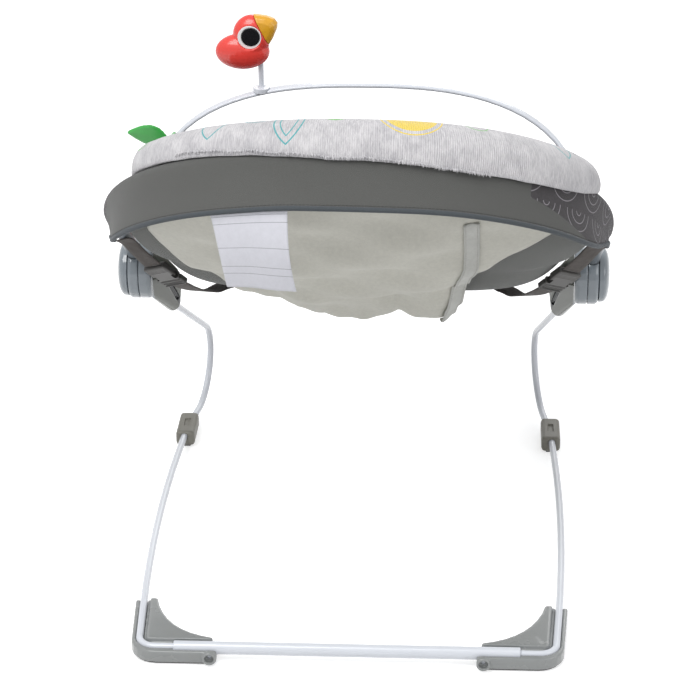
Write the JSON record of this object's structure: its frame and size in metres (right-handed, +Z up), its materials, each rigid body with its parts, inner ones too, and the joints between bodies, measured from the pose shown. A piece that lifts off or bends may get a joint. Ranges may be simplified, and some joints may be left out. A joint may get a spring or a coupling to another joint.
{
  "type": "baby bouncer",
  "caption": "Baby bouncer: a padded sling seat on a bent tube frame, held by two moulded hubs on a springy wire base, with a toy bar and a small bird toy.",
  "frame": {"origin": "bounding box bottom centre, on the floor", "axes": "+Y from the head end to the foot end, +Z up, +X to the right seen from behind the head end"},
  "size_m": [0.4914, 0.6054, 0.485],
  "materials": {
    "beak_plastic": "gloss",
    "bird_plastic": "gloss",
    "border_stretch_fabric": "matte",
    "brown_webbing": "matte",
    "buckle_plastic": "satin",
    "charcoal_fabric": "matte",
    "clip_plastic": "matte",
    "coral_plastic": "gloss",
    "cream_lining": "matte",
    "dark_rubber": "matte",
    "eye_black_plastic": "gloss",
    "eye_white_plastic": "gloss",
    "foot_plastic": "satin",
    "grey_gloss_plastic": "gloss",
    "heather_print_fabric": "matte",
    "leaf_plastic": "gloss",
    "screw_steel": "satin",
    "tube_enamel": "satin",
    "white_enamel": "gloss",
    "white_satin": "satin"
  },
  "bodies": {
    "base": {"left_floor_wire": "white_enamel", "left_front_foot": "clip_plastic", "left_front_foot_pad": "dark_rubber", "left_rear_foot": "foot_plastic", "left_rear_foot_pad": "dark_rubber", "left_rear_foot_screw": "screw_steel", "rear_cross_tube": "white_enamel", "right_floor_wire": "white_enamel", "right_front_foot": "clip_plastic", "right_front_foot_pad": "dark_rubber", "right_rear_foot": "foot_plastic", "right_rear_foot_pad": "dark_rubber", "right_rear_foot_screw": "screw_steel"},
    "seat": {"back_frame_tube": "tube_enamel", "back_lining": "cream_lining", "blank_tag": "white_satin", "crotch_flap": "heather_print_fabric", "foot_border": "border_stretch_fabric", "foot_frame_tube": "tube_enamel", "harness_buckle": "buckle_plastic", "head_border": "border_stretch_fabric", "head_roll": "heather_print_fabric", "left_buckle_socket": "buckle_plastic", "left_hub_cap": "grey_gloss_plastic", "left_hub_inner_shell": "grey_gloss_plastic", "left_hub_outer_shell": "grey_gloss_plastic", "left_hub_screw": "screw_steel", "left_spring_wire": "white_enamel", "left_strap_tail": "brown_webbing", "left_strap_webbing": "brown_webbing", "left_toy_bar_clip": "coral_plastic", "left_waist_belt": "brown_webbing", "right_buckle_socket": "buckle_plastic", "right_hub_cap": "grey_gloss_plastic", "right_hub_inner_shell": "grey_gloss_plastic", "right_hub_outer_shell": "grey_gloss_plastic", "right_hub_screw": "screw_steel", "right_spring_wire": "white_enamel", "right_strap_tail": "brown_webbing", "right_strap_webbing": "brown_webbing", "right_toy_bar_clip": "coral_plastic", "right_waist_belt": "brown_webbing", "seat_pad": "charcoal_fabric"},
    "toy_bar": {"bird_post": "white_enamel", "leaf_ornament": "leaf_plastic", "left_pivot_pin": "screw_steel", "left_toy_bar_end": "coral_plastic", "right_pivot_pin": "screw_steel", "right_toy_bar_end": "coral_plastic", "toy_bar_arch": "white_enamel"},
    "bird": {"bird_beak": "beak_plastic", "bird_body": "bird_plastic", "bird_front_eye_rim": "eye_white_plastic", "bird_front_pupil": "eye_black_plastic", "bird_rear_eye_rim": "eye_white_plastic", "bird_rear_pupil": "eye_black_plastic"},
    "left_plug": {"left_buckle_plug": "buckle_plastic"},
    "right_plug": {"right_buckle_plug": "buckle_plastic"},
    "left_prong": {"left_harness_plug": "buckle_plastic"},
    "right_prong": {"right_harness_plug": "buckle_plastic"}
  },
  "joints": [
    {"name": "seat_bounce", "type": "hinge", "parent": "base", "child": "seat", "pos_m": [0, 0.25544, 0.05798], "axis": [1, 0, 0], "range_deg": [-3, 6], "stiffness_Nm_per_rad": 150, "springref_deg": -2.17},
    {"name": "toy_bar_swing", "type": "hinge", "parent": "seat", "child": "toy_bar", "pos_m": [0, 0.11034, 0.27156], "axis": [1, 0, 0], "range_deg": [-60, 15]},
    {"name": "bird_spin", "type": "hinge", "parent": "toy_bar", "child": "bird", "pos_m": [-0.104, 0.12914, 0.40592], "axis": [0, 0, 1], "continuous": true},
    {"name": "left_strap_buckle_release", "type": "slide", "parent": "seat", "child": "left_plug", "axis": [0.5331, 0.4995, -0.6829], "range_m": [0, 0.02], "deforming": ["left_strap_tail"]},
    {"name": "left_harness_release", "type": "slide", "parent": "seat", "child": "left_prong", "axis": [-1, 0, 0], "range_m": [0, 0.02], "deforming": ["left_waist_belt"]},
    {"name": "right_strap_buckle_release", "type": "slide", "parent": "seat", "child": "right_plug", "axis": [-0.5331, 0.4995, -0.6829], "range_m": [0, 0.02], "deforming": ["right_strap_tail"]},
    {"name": "right_harness_release", "type": "slide", "parent": "seat", "child": "right_prong", "axis": [1, 0, 0], "range_m": [0, 0.02], "deforming": ["right_waist_belt"]}
  ]
}
